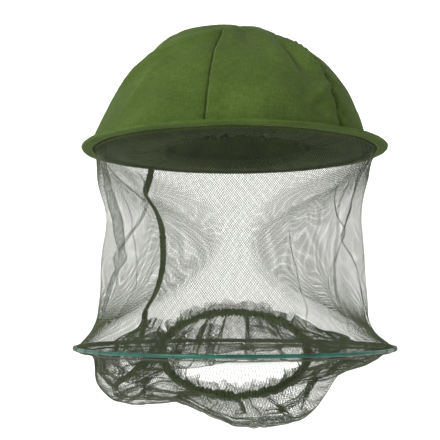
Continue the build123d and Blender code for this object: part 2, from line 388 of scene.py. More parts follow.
steel, tree, shader = new_material("drawn spring steel", roughness=0.35)
shader.inputs["Metallic"].default_value = 1.0
place = node(tree, "ShaderNodeTexCoord").outputs["Object"]
drawn = node(tree, "ShaderNodeTexNoise", [("Vector", place)], Scale=400.0, Detail=2.0).outputs["Fac"]
tree.links.new(colour_ramp(tree, drawn, (0.3, "#7d7f80"), (0.7, "#a4a6a8")), shader.inputs["Base Color"])

elastic_weave, tree, shader = new_material("rubber-cored knitted elastic", roughness=0.8, sheen=0.2)
place = node(tree, "ShaderNodeTexCoord").outputs["Object"]
ribs = node(tree, "ShaderNodeTexNoise", [("Vector", place)], Scale=900.0).outputs["Fac"]
tree.links.new(colour_ramp(tree, ribs, (0.4, "#1b1e15"), (0.6, "#34382b")), shader.inputs["Base Color"])

# The wires, ferrules, coating, loops and elastics keep the shapes they were designed with.
for name, material in {"brim_wire": steel, "brim_ferrule": steel, "hoop_core": steel, "hoop_ferrule": steel,
                       "hoop_coating": hoop_plastic, "head_elastic": elastic_weave,
                       "neck_elastic": elastic_weave, "hoop_loops": hoop_thread}.items():
    frame["nodes"][name].data.materials.clear()
    frame["nodes"][name].data.materials.append(material)

# %% [markdown]
# ## The crown
#
# Six gores of cotton are sewn into a dome. The dome is nearly an ellipse turned round the
# head, but soft cloth never is: the gores puff out between the seams, the seams pucker, the
# left side slumps outwards over the brim, and a few creases run across from packing. All of
# that is one function of azimuth and climb, so gores, tapes and stitches share one surface.
# Creases come first: each is a bell-shaped ridge or valley along a short line.

# %% Seams and creases
first_seam = math.radians(-12)
gore_turn = math.radians(60)
seams = first_seam + gore_turn * np.arange(6)


def crease(azimuth, climb, start, end, width, height):
    """Bell-shaped ridge (or fold, if height is negative) along a line between two
    (azimuth in degrees, climb) points, with widths in metres on a sphere of the crown's size."""
    size = crown_top
    first = math.radians(start[0])
    reached = np.stack([turn_gap(azimuth, first) * np.cos(climb * np.pi / 2) * size,
                        (climb - start[1]) * size * np.pi / 2], -1)
    middle_climb = (start[1] + end[1]) * np.pi / 4
    span = np.array([turn_gap(math.radians(end[0]), first) * math.cos(middle_climb) * size,
                     (end[1] - start[1]) * size * np.pi / 2])
    along = np.clip(reached @ span / (span @ span), 0, 1)
    off = np.linalg.norm(reached - along[..., None] * span, axis=-1)
    return height * bump(off, width) * np.sin(np.pi * np.clip(along, 0.04, 0.96)) ** 0.5


crown_creases = [  # start and end as (azimuth, climb), width and height
    ((-60, 0.30), (-14, 0.66), 6 * MM, 5.0 * MM),
    ((-66, 0.38), (-24, 0.72), 8 * MM, -9 * MM),
    ((-105, 0.50), (-50, 0.84), 14 * MM, 6.0 * MM),
    ((-50, 0.10), (-34, 0.50), 6 * MM, 2.6 * MM),
    ((-72, 0.26), (-48, 0.34), 5 * MM, 3.0 * MM),
    ((33, 0.72), (36, 0.26), 8 * MM, -8.5 * MM),
    ((18, 0.66), (24, 0.36), 8 * MM, 3.0 * MM),
    ((50, 0.66), (44, 0.30), 7 * MM, 3.6 * MM),
    ((30, 0.12), (50, 0.28), 6 * MM, 3.4 * MM),
    ((24, 0.22), (38, 0.10), 7 * MM, -2.4 * MM),
    ((3, 0.68), (8, 0.46), 7 * MM, -3.0 * MM),
    ((-4, 0.66), (-3, 0.46), 5 * MM, 1.6 * MM),
    ((60, 0.66), (74, 0.2), 8 * MM, -5.0 * MM),
    ((44, 0.43), (49, 0.37), 3 * MM, -3.4 * MM),
    ((46, 0.285), (52, 0.24), 3 * MM, -3.4 * MM),
    ((49, 0.13), (52, 0.09), 3 * MM, -2.8 * MM),
    ((8, 0.10), (30, 0.22), 10 * MM, 1.6 * MM),
    ((-40, 0.05), (-20, 0.16), 9 * MM, 1.8 * MM),
    ((120, 0.70), (150, 0.30), 9 * MM, -5.0 * MM),
    ((165, 0.8), (-165, 0.25), 8 * MM, -4.0 * MM),
    ((-150, 0.75), (-118, 0.30), 9 * MM, 4.0 * MM),
]
print(f"{len(seams)} seams and {len(crown_creases)} creases")

# %% [markdown]
# ### The dome
#
# The real crown is slack cloth, so it stands a little inside a true ellipse, more so on the
# right, where it has sunk. That lean is read from a short table by height, in millimetres. The
# seams join off centre, which is why the whole top is shifted.

# %% Crown surface
lean_height = [0, 20, 40, 60, 84, 105, 120, 136]
lean_left = [0, 2, 4, 4, 2, 3, 2, 0]
lean_right = [0, 4, 7, 8, 12, 20, 24, 6]
lean_front = [0, 4, 7, 8, 8, 7, 5, 0]
top_offset = 19 * MM


def crown(azimuth, climb, inset=0.0):
    """Point of the crown at an azimuth and a climb from 0 at the foot to 1 at the top.

    The base is an ellipse: radius a cos(t), height c sin(t), t = climb times 90 degrees. The cloth
    stands slack, so the wall leans in from the ellipse by an amount read from a table of heights.
    Radius then gains the gores' puff, the puckers that fade away from each seam and the creases,
    the foot flares on the left, and the top sits off centre and sinks on the right. inset moves
    the point inwards."""
    t = climb * np.pi / 2
    seam_gap = turn_gap(azimuth - first_seam, 0) % gore_turn
    seam_gap = np.minimum(seam_gap, gore_turn - seam_gap)
    arc = seam_gap * np.cos(t) * crown_radius
    left = np.clip(-np.sin(azimuth), 0, 1) ** 1.5
    right = np.clip(np.sin(azimuth), 0, 1) ** 1.5
    swell = (2.0 * MM * np.sin(np.pi * seam_gap / gore_turn) ** 0.8 - 1.6 * MM * bump(arc, 3.0 * MM)
             + 0.6 * MM * bump(arc, 9 * MM) * np.sin(climb * 95 + 3 * np.sin(climb * 23)))
    rough = 1 + 0.9 * bump(turn_gap(azimuth, seams[1]), 0.12)
    swell = swell * np.clip((1 - climb) * 2.6, 0, 1) ** 1.5 * rough
    swell = swell + 1.8 * MM * round_waves(azimuth, 3 * climb, 5, [2, 3, 4, 5, 7]) * np.sin(np.pi * climb)
    for start, end, width, height in crown_creases:
        swell = swell + crease(azimuth, climb, start, end, width, height)
    height_mm = crown_top * np.sin(t) / MM
    lean = ((1 - left - right) * np.interp(height_mm, lean_height, lean_front)
            + left * np.interp(height_mm, lean_height, lean_left)
            + right * np.interp(height_mm, lean_height, lean_right)) * MM
    a = crown_radius - inset + swell
    c = crown_top - crown_foot - 1.6 * MM - inset + swell
    radius = a * np.cos(t) - lean * np.cos(t) ** 0.5
    height = crown_foot + c * np.sin(t)
    flare = np.exp(-(height - crown_foot) / (26 * MM))
    radius = radius + (11 * MM * left - 5 * MM * right) * flare
    near_top = bump(radius, 75 * MM) * np.sin(t) ** 2
    x = radius * np.sin(azimuth) + top_offset * near_top
    y = -radius * np.cos(azimuth)
    right_top = 0.5 + 0.5 * np.tanh((x - 4 * MM) / (24 * MM))
    height = height - (1.5 * MM * bump(radius, 45 * MM) + 4.5 * MM * right_top) * np.sin(t) ** 4
    return np.stack([x, y, height], -1)


# %% [markdown]
# ### Gores and tapes
#
# Each gore is one sixth of the dome, cut at its seams. Solidify gives it the cloth's thickness
# inwards. A tape 10 mm wide covers each seam on the inside, as in a lined hat.

# %% Crown gores and seam tapes
climbs = np.concatenate([np.linspace(0, 0.94, 86), np.linspace(0.95, 1.0, 7)])
for k, seam in enumerate(seams):
    turn, climb = np.meshgrid(seam + np.linspace(0, gore_turn, 50), climbs, indexing="ij")
    gore = link(f"crown_gore_{k + 1}", grid_mesh(f"crown_gore_{k + 1}", crown(turn, climb)),
                "hat", hat_cotton)
    thicken(gore, cloth)
    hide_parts(f"crown_panel_{k + 1}")

for k, seam in enumerate(seams):
    climb, side = np.meshgrid(np.linspace(0.04, 0.9, 80), np.linspace(-1, 1, 7), indexing="ij")
    half_tape = 5 * MM / (crown_radius * np.cos(climb * np.pi / 2))
    points = crown(seam + side * half_tape, climb, cloth + 0.2 * MM)
    tape = link(f"seam_tape_{k + 1}", grid_mesh(f"seam_tape_{k + 1}", points),
                "hat", tape_cotton)
    thicken(tape, 0.5 * MM, 1.0)
    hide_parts(f"crown_seam_tape_{k + 1}")
print("crown: 6 gores and 6 tapes")

# %% [markdown]
# ## The brim
#
# Two rings of cotton lie flat on each other. A folded binding runs round their edge with the
# spring wire inside it, and a row of stitches holds it closed. The binding is one profile
# carried round the head: over the top tail, round the wire, and back under the bottom tail.

# %% Brim rings and binding
brim_wire_radius = 1.25 * MM
wire_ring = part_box("brim_wire")[1][0] - brim_wire_radius
bind_wall = 1.0 * MM
bind_reach = 8 * MM
tail_inner = brim_cloth_edge - bind_reach
sleeve_edge = reach("head_sleeve")[0]
facing_inner = sleeve_edge - 20 * MM


def brim_wave(azimuth, radius):
    """How far the brim cloth lifts: slow waves of a few tenths of a millimetre, growing outwards."""
    share = np.clip((radius - facing_inner) / (brim_edge - facing_inner), 0, 1)
    return 0.5 * MM * share * round_waves(azimuth, 0.0, 11, [3, 5, 8, 13])


def flat_ring(name, inner, outer, height, body, material, turns=360):
    """Ring of cloth at one height, waved like the brim."""
    azimuth, radius = np.meshgrid(np.linspace(0, 2 * np.pi, turns, endpoint=False),
                                  np.linspace(inner, outer, 14), indexing="ij")
    points = np.stack([radius * np.sin(azimuth), -radius * np.cos(azimuth),
                       height + brim_wave(azimuth, radius)], -1)
    return link(name, grid_mesh(name, points, closed=True), body, material)


brim_upper = thicken(flat_ring("brim_upper", sleeve_edge, brim_cloth_edge, cloth_level + cloth / 2,
                               "hat", hat_cotton), cloth * 0.96, 0.0)
# The lower ring's darker cotton is painted shade.
brim_lower = thicken(flat_ring("brim_lower", facing_inner, brim_cloth_edge, cloth_level - cloth / 2,
                               "hat", shaded_cotton), cloth * 0.96, 0.0)
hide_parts("brim_top")
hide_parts("brim_facing")

half_tail = cloth + bind_wall
bind_radius = (piping_high - piping_low) / 2 - 0.4 * MM
arc = np.radians(np.linspace(90, -90, 17))
tail_outer = wire_ring - 1.2 * MM
tail = np.linspace(tail_inner, tail_outer, 8)
profile_r = np.concatenate([tail, wire_ring + bind_radius * np.cos(arc), tail[::-1]])
profile_z = np.concatenate([np.full(8, half_tail), bind_radius * np.sin(arc), np.full(8, -half_tail)])
azimuth, station = np.meshgrid(np.linspace(0, 2 * np.pi, 900, endpoint=False),
                               np.arange(len(profile_r)), indexing="ij")
pucker = 0.22 * MM * round_waves(azimuth, station * 0.1, 3, [181, 197, 229, 263, 67, 41])
radius = profile_r[station]
height = profile_z[station] + brim_wave(azimuth, radius)
outward = np.sign(profile_z[station]) * (np.abs(profile_z[station]) > half_tail * 0.9)
radius = radius + pucker * 0.7 * (radius > wire_ring)
points = np.stack([radius * np.sin(azimuth), -radius * np.cos(azimuth), height + pucker * outward], -1)
binding = link("brim_binding", grid_mesh("brim_binding", points[:, ::-1], closed=True),
               "hat", hat_cotton)
thicken(binding, 0.6 * MM, -1.0)
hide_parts("brim_piping")


# %% [markdown]
# ### Stitches
#
# A stitch is a short capsule of thread that dips into the cloth at both ends. Hundreds of them
# are one mesh: the same few rings are placed at every stitch by array arithmetic.

# %% Stitches along a path
def stitches(name, centre, along, normal, length, radius, body, material=sewing_thread):
    """Capsules of thread: centre, direction and surface normal are (n, 3) arrays."""
    along = along / np.linalg.norm(along, axis=1, keepdims=True)
    normal = normal - along * (normal * along).sum(1, keepdims=True)
    normal = normal / np.linalg.norm(normal, axis=1, keepdims=True)
    across = np.cross(along, normal)
    stations = np.array([-0.5, -0.36, 0.0, 0.36, 0.5])
    thick = np.array([0.25, 0.85, 1.0, 0.85, 0.25])
    lift_off = np.array([-0.9, 0.35, 0.8, 0.35, -0.9])
    angle = np.linspace(0, 2 * np.pi, 6, endpoint=False)
    s, a = np.meshgrid(np.arange(5), angle, indexing="ij")
    local = (along[:, None, None] * (stations[s] * length)[None, :, :, None]
             + normal[:, None, None] * (radius * (lift_off[s] + thick[s] * np.cos(a)))[None, :, :, None]
             + across[:, None, None] * (radius * thick[s] * np.sin(a))[None, :, :, None])
    points = (centre[:, None, None] + local).reshape(len(centre), -1, 3)
    ring, corner = np.meshgrid(np.arange(4), np.arange(6), indexing="ij")
    quads = np.stack([ring * 6 + corner, (ring + 1) * 6 + corner,
                      (ring + 1) * 6 + (corner + 1) % 6, ring * 6 + (corner + 1) % 6], -1).reshape(-1, 4)
    caps = [list(range(6)), [24 + k for k in range(5, -1, -1)]]
    count = len(centre)
    faces = (quads[None] + 30 * np.arange(count)[:, None, None]).reshape(-1, 4).tolist()
    faces += [[30 * k + c for c in cap] for k in range(count) for cap in caps]
    mesh = bpy.data.meshes.new(name)
    mesh.from_pydata(points.reshape(-1, 3), [], faces)
    return link(name, mesh, body, material)


rng = np.random.default_rng(21)
for side, name in ((1, "brim_stitches_upper"), (-1, "brim_stitches_lower")):
    count = 300
    turn = np.linspace(0, 2 * np.pi, count, endpoint=False) + rng.normal(0, 0.0008, count)
    r = tail_inner + 2.0 * MM + rng.normal(0, 0.12 * MM, count)
    middle = np.stack([r * np.sin(turn), -r * np.cos(turn),
                       side * (half_tail + 0.1 * MM) + brim_wave(turn, r)], -1)
    tangent = np.stack([np.cos(turn), np.sin(turn), 0 * turn], -1)
    up = np.stack([0 * turn, 0 * turn, side + 0 * turn], -1)
    stitches(name, middle, tangent, up, 2.5 * MM, 0.17 * MM, "hat")

for k, seam in enumerate(seams):
    climb = np.linspace(0.03, 0.93, 62) + rng.normal(0, 0.0012, 62)
    side = 1.6 * MM / (crown_radius * np.cos(climb * np.pi / 2)) * (1 + rng.normal(0, 0.15, 62))
    here = crown(seam + side, climb)
    ahead = crown(seam + side, climb + 0.004)
    beside = crown(seam + side + 0.01, climb)
    stitches(f"crown_stitches_{k + 1}", here, ahead - here, np.cross(beside - here, ahead - here),
             2.3 * MM, 0.17 * MM, "hat")

# %% [markdown]
# ## The head band
#
# Inside the brim a ring of cotton is gathered onto an oval band of elastic that grips the head.
# The gathers are waves that grow towards the elastic, where the cloth is shortest.

# %% Gathered sleeve
head_turns = 760
azimuth, share = np.meshgrid(np.linspace(0, 2 * np.pi, head_turns, endpoint=False),
                             np.linspace(0, 1, 19), indexing="ij")
direction = np.stack([np.sin(azimuth), -np.cos(azimuth)], -1)
oval = 1 / np.linalg.norm(direction / channel_half, axis=-1)
gathers = round_waves(azimuth, share * 1.5, 8, [37, 43, 52, 61, 71])
gathers = gathers + 0.4 * round_waves(azimuth, share, 9, [97, 121])
radius = sleeve_edge + (oval - 0.8 * MM - sleeve_edge) * share
height = (cloth_level + cloth / 2 - 4.5 * MM * np.sin(np.pi * share) ** 1.2
          + 3.6 * MM * gathers * share ** 0.9 * (1 - 0.5 * share))
sleeve = link("head_sleeve_gathered", grid_mesh("head_sleeve_gathered", np.stack(
    [radius * direction[..., 0], radius * direction[..., 1], height], -1), closed=True),
    "hat", shaded_cotton)
thicken(sleeve, 0.7 * MM, 0.0)
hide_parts("head_sleeve")

# %% [markdown]
# ### The channel round the elastic
#
# The channel is a flattened tube: its section is a tall oval, and the ruffle bends its top and
# bottom edges in and out while its sides stay near the elastic.

# %% Ruffled channel
azimuth, around = np.meshgrid(np.linspace(0, 2 * np.pi, head_turns, endpoint=False),
                              np.linspace(0, 2 * np.pi, 25), indexing="ij")
direction = np.stack([np.sin(azimuth), -np.cos(azimuth)], -1)
middle_half = head_half - 0.6 * MM
oval = 1 / np.linalg.norm(direction / middle_half, axis=-1)
ruffle = round_waves(azimuth, np.sin(around), 14, [83, 97, 113, 127])
edge = np.abs(np.sin(around)) ** 3
radius = oval + (1.7 + 0.5 * ruffle * (1 - edge)) * MM * np.cos(around) + 1.5 * MM * ruffle * edge
height = (5.1 + 0.9 * ruffle) * MM * np.sign(np.sin(around)) * np.abs(np.sin(around)) ** 0.8
points = np.stack([radius * direction[..., 0], radius * direction[..., 1], height], -1)
channel = link("head_band_ruffled", grid_mesh("head_band_ruffled", points, closed=True),
               "hat", shaded_cotton)
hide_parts("head_channel")

# %% [markdown]
# ## Net
#
# The net is knitted: threads zigzag down the cloth and meet their neighbours at every half
# stitch, which leaves tall diamond holes about 2.4 mm wide and 3.3 mm high. A picture of net
# on a flat sheet would go wrong at every fold and edge, so each thread is real: a thin
# three-sided tube from knot to knot. The knots are the even cells of a grid laid on the cloth
# surface; one family of threads climbs to the right and the other to the left.

# %% Knitted net on a surface
hole_height = 3.3 * MM
thread_radius = 0.18 * MM
net_round = 736
columns = np.arange(net_round + 1)


def net_mesh(name, points, radius=thread_radius):
    """Threads through a (columns, rows, 3) grid of half-stitch points. Knots are where column
    plus row is even. A thread's section is a triangle: knot + radius (normal cos a + side sin a)."""
    columns, rows = points.shape[:2]
    along_u = np.gradient(points, axis=0)
    along_v = np.gradient(points, axis=1)
    normal = np.cross(along_u, along_v)
    normal /= np.linalg.norm(normal, axis=2, keepdims=True) + 1e-12
    c, r = np.meshgrid(np.arange(columns), np.arange(rows), indexing="ij")
    knot = (c + r) % 2 == 0
    number = np.cumsum(knot.ravel()).reshape(columns, rows) - 1
    total = int(knot.sum())
    corners, faces = [], []
    for family, slope in enumerate((1, -1)):
        tangent = along_u + slope * along_v
        tangent /= np.linalg.norm(tangent, axis=2, keepdims=True) + 1e-12
        side = np.cross(tangent, normal)
        ring = [points + radius * (math.cos(a) * normal + math.sin(a) * side)
                for a in np.radians([90, 210, 330])]
        corners.append(np.stack([p[knot] for p in ring], 1).reshape(-1, 3))
        low, high = (0, rows - 1) if slope == 1 else (1, rows)
        start = np.argwhere(knot[:-1, low:high]) + [0, low]
        first = 3 * (number[start[:, 0], start[:, 1]] + family * total)
        last = 3 * (number[start[:, 0] + 1, start[:, 1] + slope] + family * total)
        faces += [np.stack([first + k, first + (k + 1) % 3, last + (k + 1) % 3, last + k], 1)
                  for k in range(3)]
    mesh = bpy.data.meshes.new(name)
    mesh.from_pydata(np.concatenate(corners), [], np.concatenate(faces))
    return mesh


print(f"thread {2 * thread_radius / MM:.2f} mm")

# %% [markdown]
# ### Pleats
#
# Slack net doesn't just wave, it folds over itself, and where it lies three deep it shows as a
# dark line. So a pleat moves points sideways until the surface doubles back, and lifts the layers
# apart by a millimetre or two.

# %% A fold that lies three deep
def pleat(azimuth, s, path, width, fold, depth, ends, spindle=False):
    """A fold in hanging cloth: (turn, outward shift) to add at each point.

    path is (azimuth in degrees, s) points from top to bottom. Across it, with t the distance in
    widths, cloth slides back by fold t / (1 + t^2 / 9), so that for fold above 1 it lies three
    deep, while depth tanh(t) keeps the layers apart. A spindle narrows to both its ends."""
    line = np.interp(s, [p[1] for p in path], [p[0] for p in path])
    if spindle:
        width = width * (0.12 + 0.88 * np.sin(np.pi * np.clip((s - ends[0]) / (ends[1] - ends[0]), 0, 1)))
    t = turn_gap(azimuth, np.radians(line)) / width
    fade = np.clip((s - ends[0]) / 0.08, 0, 1) * np.clip((ends[1] - s) / 0.10, 0, 1)
    fade = fade * fade * (3 - 2 * fade)
    return (-fold * fade * width * t / (1 + t * t / 9) * bump(t, 14),
            depth * fade * np.tanh(t) * bump(t, 7))


# %% [markdown]
# ## The veil
#
# The net hangs from the brim to the hoop. Its outline differs on each side: it falls in at the
# waist, comes down nearly straight in front, and flares over the hoop at the foot. So there is
# one table of radii for each side, and a list of the main pleats with the paths they follow.

# %% Outline and pleats of the veil
net_foot = band_head + 0.3 * MM
veil_radii = {  # distance below the brim, as a share of the drop, and the radius in mm
    "share": [0.0, 0.06, 0.14, 0.21, 0.29, 0.36, 0.43, 0.51, 0.58, 0.65, 0.72, 0.80, 0.87, 0.94, 1.0],
    "left": [148.4, 150.5, 150.5, 147.5, 142, 139.5, 140.5, 143, 145, 146.5, 147, 149, 150, 155, 164.2],
    "right": [148.4, 149.5, 147.5, 143, 139, 138, 139, 140, 141, 141, 142, 143, 143.5, 149, 164.2],
    "front": [148.4, 148.4, 148.5, 148.7, 149, 149.3, 149.7, 150.3, 151, 152, 153, 155, 157.5,
              160.5, 164.2],
    "back": [148.4, 146.5, 145, 143.5, 142, 141, 140.5, 140.5, 141, 142, 144, 147, 151, 157, 164.2],
}
veil_pleats = [  # path as (azimuth, share) points, width in radians, fold, depth, where it ends
    dict(path=[(-64, 0.08), (-78, 0.20), (-81, 0.30), (-79, 0.45), (-76, 0.58)],
         width=0.024, fold=2.9, depth=2.4 * MM, ends=(0.04, 0.66), spindle=True),
    dict(path=[(-75, 0.56), (-74, 0.70)],
         width=0.005, fold=2.3, depth=0.8 * MM, ends=(0.56, 0.80)),
    dict(path=[(-64, 0.0), (-62, 0.18), (-53, 0.31)],
         width=0.006, fold=2.4, depth=1.0 * MM, ends=(-0.08, 0.40)),
    dict(path=[(-40, 0.22), (-53, 0.31), (-69, 0.45), (-76, 0.57), (-80, 0.71), (-79, 0.82)],
         width=0.009, fold=3.0, depth=1.4 * MM, ends=(0.18, 0.98)),
    dict(path=[(58, 0.0), (66, 0.08), (70, 0.13), (76, 0.22), (79, 0.31), (77, 0.41), (72, 0.51),
               (68, 0.57), (56, 0.68), (46, 0.80)],
         width=0.021, fold=2.8, depth=2.2 * MM, ends=(-0.06, 0.74), spindle=True),
    dict(path=[(50, 0.20), (57, 0.25), (73, 0.41), (80, 0.54), (84, 0.66), (84, 0.80)],
         width=0.009, fold=3.0, depth=1.4 * MM, ends=(0.20, 0.98)),
    dict(path=[(56, 0.66), (44, 0.80)],
         width=0.005, fold=2.3, depth=0.8 * MM, ends=(0.62, 0.96)),
    dict(path=[(82, 0.0), (76, 0.10), (77, 0.20)],
         width=0.006, fold=2.4, depth=1.0 * MM, ends=(-0.08, 0.26)),
    dict(path=[(112, 0.0), (104, 0.4), (112, 0.8)],
         width=0.006, fold=2.4, depth=1.2 * MM, ends=(0.1, 0.9)),
    dict(path=[(-112, 0.1), (-106, 0.4), (-116, 0.7), (-110, 1.0)],
         width=0.006, fold=2.4, depth=1.2 * MM, ends=(0.05, 0.95)),
    dict(path=[(152, 0.0), (138, 0.6), (146, 1.0)],
         width=0.0045, fold=2.3, depth=0.9 * MM, ends=(0.35, 1.0)),
]
print(f"{len(veil_pleats)} pleats in the veil")

# %% [markdown]
# ### The veil's section
#
# A slack tube of net doesn't hang round. It falls in flatter sheets that meet in a soft corner at
# each side, and its threads space themselves evenly along that outline. A plain circle would
# crowd the threads at the edges seen from the front.

# %% Section and spacing of the net
def smooth_profile(s, stations, values):
    """Values between stations on a curve with no corners: linear, averaged over a short window."""
    fine = np.linspace(-0.1, 1.1, 481)
    line = np.interp(fine, stations, values)
    kernel = np.hanning(33)
    soft = np.convolve(np.pad(line, 16, mode="edge"), kernel / kernel.sum(), mode="valid")
    ends = np.interp(fine, [-0.1, 0.0, 0.06, 0.96, 1.0, 1.1], [1, 1, 0, 0, 1, 1])
    return np.interp(s, fine, soft * (1 - ends) + line * ends) * MM


def veil_section(turn, s):
    """Radius of the hanging net before folds: front, back and side profiles blended by how far
    the point faces each way. Slack net falls in flat sheets that meet in a corner at each side,
    radius side / (|sin| + corner |cos|), so the smaller of the two is taken, rounded over 6 mm."""
    facing = np.sin(turn)
    side = np.where(facing < 0, smooth_profile(s, veil_radii["share"], veil_radii["left"]),
                    smooth_profile(s, veil_radii["share"], veil_radii["right"]))
    ahead = np.where(np.cos(turn) > 0, smooth_profile(s, veil_radii["share"], veil_radii["front"]),
                     smooth_profile(s, veil_radii["share"], veil_radii["back"]))
    radius = ahead + (side - ahead) * facing ** 2
    corner = 0.85 * np.sin(np.pi * np.clip(s, 0, 1))
    flank = side / (np.abs(facing) + corner * np.abs(np.cos(turn)) + 1e-6)
    gap = (radius - flank) / (6 * MM)
    rounding = 1.2 * MM * bump(gap, 1.2) * np.clip(s * 9, 0, 1)
    return flank + (radius - flank) * 0.5 * (1 - np.tanh(gap)) - rounding


def even_turns(shares, s):
    """Azimuths that space the net's columns evenly along each row's own outline, as cloth does."""
    fine = np.linspace(-np.pi, np.pi, 1441)
    turns = []
    for height in s:
        radius = veil_section(fine, np.full_like(fine, height))
        steps = np.hypot(np.diff(radius * np.sin(fine)), np.diff(radius * np.cos(fine)))
        length = np.concatenate([[0], np.cumsum(steps)])
        turns.append(np.interp(shares * length[-1], length, fine))
    return np.stack(turns, 1)


# %% [markdown]
# ### Cutting the veil
#
# The net is made in four quarters, so that each stays a light mesh. The real net folds down
# towards the brim when the veil is packed flat.

# %% The four quarters of the veil
def veil(azimuth, s):
    """Point of the hanging net. s runs from 0 at the brim to 1 at the hoop. The section gives the
    radius, the pleats fold it, and slow waves keep it from looking drawn with a ruler."""
    turn = azimuth.copy()
    out = 0.0
    for fold in veil_pleats:
        slide, shift = pleat(azimuth, s, **fold)
        turn = turn + slide
        out = out + shift
    free = np.sin(np.pi * np.clip(s, 0, 1)) ** 0.8
    radius = veil_section(turn, s) + out
    radius = radius + free * (1.8 * MM * round_waves(azimuth, 3 * s, 31, [3, 4, 6, 7, 9])
                              + 0.5 * MM * round_waves(azimuth, 6 * s, 32, [17, 23, 29]))
    radius = radius + 0.9 * MM * np.exp(-s / 0.05) * round_waves(azimuth, s, 33, [71, 89, 103])
    height = net_head + (net_foot - net_head) * s
    return np.stack([radius * np.sin(turn), -radius * np.cos(turn), height], -1)


veil_slack = 1.06
veil_rows = 2 * round((net_head - net_foot) * veil_slack / hole_height) + 1
rows = np.linspace(0, 1, veil_rows)
turns = even_turns(columns / net_round, rows)
for k, name in enumerate(("veil_back_left", "veil_front_left", "veil_front_right", "veil_back_right")):
    turn = turns[k * net_round // 4:(k + 1) * net_round // 4 + 1]
    piece = link(name, net_mesh(name, veil(turn, rows + 0 * turn)), "hat", net_thread)
    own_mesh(piece)
    if k == 0:
        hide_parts("veil_net")
print(f"veil: {net_round // 2} x {veil_rows // 2} holes")

# %% [markdown]
# ### The net's tape
#
# A narrow tape sews the head of the net to the underside of the brim. Its stitches pull it into
# small ripples, which grow towards its free edge.

# %% Tape that sews the net to the brim
azimuth, drop = np.meshgrid(np.linspace(0, 2 * np.pi, 720, endpoint=False),
                            np.linspace(0, 1, 4), indexing="ij")
radius = net_head_radius + 0.6 * MM + 0.35 * MM * round_waves(azimuth, drop, 41, [71, 89, 103, 131]) * drop
points = np.stack([radius * np.sin(azimuth), -radius * np.cos(azimuth),
                   net_head - drop * (net_head - binding_foot)], -1)
tape = link("net_tape", grid_mesh("net_tape", points, closed=True), "hat", tape_cotton)
thicken(tape, 0.5 * MM, 0.0)
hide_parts("net_binding")

# %% [markdown]
# ## The seam at the back
#
# The net is one sheet closed into a tube. Its two edges are rolled together and stitched, which
# makes a dark cord-like strip that wanders with the cloth.

# %% Rolled seam of the veil
def ribbon(path, across, normal, half_width, thickness, sides=10):
    """Flat oval tube along a path: (n, sides + 1, 3) points."""
    a = np.linspace(0, 2 * np.pi, sides + 1)
    return (path[:, None] + across[:, None] * (half_width[:, None] * np.cos(a))[..., None]
            + normal[:, None] * (thickness[:, None] * np.sin(a))[..., None])


s = np.linspace(0.018, 0.999, 220)
seam_turn = np.radians(np.interp(s, [0, 0.10, 0.20, 0.33, 0.46, 0.60, 0.80, 0.90, 1.0],
                                 [-138.5, -136, -132.4, -130, -129.5, -132, -134, -136, -137]))
window = np.hanning(31) / np.hanning(31).sum()
seam_turn = np.convolve(np.pad(seam_turn, 15, mode="edge"), window, mode="valid")
path = veil(seam_turn, s)
tangent = np.gradient(path, axis=0)
tangent /= np.linalg.norm(tangent, axis=1, keepdims=True)
radial = np.stack([np.sin(seam_turn), -np.cos(seam_turn), 0 * s], -1)
across = np.cross(tangent, radial)
crimp = waves(s * 160, s * 0, 51, low=0.4, high=1.6)
inside = path - radial * 1.6 * MM
points = ribbon(inside, across, radial, (4.6 + 0.6 * crimp) * MM, (2.3 + 0.4 * crimp) * MM)
rolled_seam = link("veil_back_seam", grid_mesh("veil_back_seam", points), "hat", gathered_net)
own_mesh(rolled_seam)
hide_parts("veil_seam")

# %% [markdown]
# ## The lower hoop
#
# The coated wire lies bare on the outside of the net and is sewn to a narrow doubled band. The
# band is the same knitted net, twice.

# %% Hoop band
turn, share = np.meshgrid(-np.pi + 2 * np.pi * columns / net_round, np.linspace(0, 1, 5), indexing="ij")
for k, inset in enumerate((0.35 * MM, 0.95 * MM)):
    radius = band_radius - inset + 0 * turn
    points = np.stack([radius * np.sin(turn + k * 0.0012), -radius * np.cos(turn + k * 0.0012),
                       band_head + (band_foot - band_head) * share], -1)
    name = f"hoop_band_{k + 1}"
    band = link(name, net_mesh(name, points), "hoop", net_thread)
    if k == 0:
        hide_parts("hoop_band")

# %% [markdown]
# ### Net drawn over the wire
#
# At the sides and the back the net is pulled up over the wire and covers it, so the teal sleeve
# shows only along the front. It is a snug sleeve of bunched net with a wandering thickness.

# %% Sleeve of net on the hoop
reach_round = np.radians(np.linspace(70, 290, 560))
wire_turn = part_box("hoop_coating")[1][0] - wire_radius
azimuth, around = np.meshgrid(reach_round, np.linspace(0, 2 * np.pi, 15), indexing="ij")
tips = np.clip(np.minimum(azimuth - reach_round[0], reach_round[-1] - azimuth) / 0.12, 0, 1)
lumps = round_waves(azimuth, np.sin(around), 56, [61, 83, 109, 137])
lumps = lumps + 0.6 * round_waves(azimuth, 0, 57, [13, 19, 29])
section = wire_radius + (0.25 + tips * (0.35 + 0.35 * np.clip(lumps, -0.9, 2.0))) * MM
radius = wire_turn + section * np.cos(around)
points = np.stack([radius * np.sin(azimuth), -radius * np.cos(azimuth),
                   hoop_level + section * np.sin(around)], -1)
link("hoop_net_sleeve", grid_mesh("hoop_net_sleeve", points), "hoop", gathered_net)

# %% [markdown]
# ## The bag and the neck band
#
# Below the hoop the net hangs slack, turns at its lowest and climbs back to the neck. Its
# section at each azimuth is a smooth curve through seven stations; how low it hangs changes
# round the wearer, because cloth bunches where it likes. Pleats run out from the gathers.

# %% Neck ring and droop
neck_up = -neck_down
neck_side = np.array([1.0, 0.0, 0.0])
neck_back = np.cross(neck_up, neck_side)


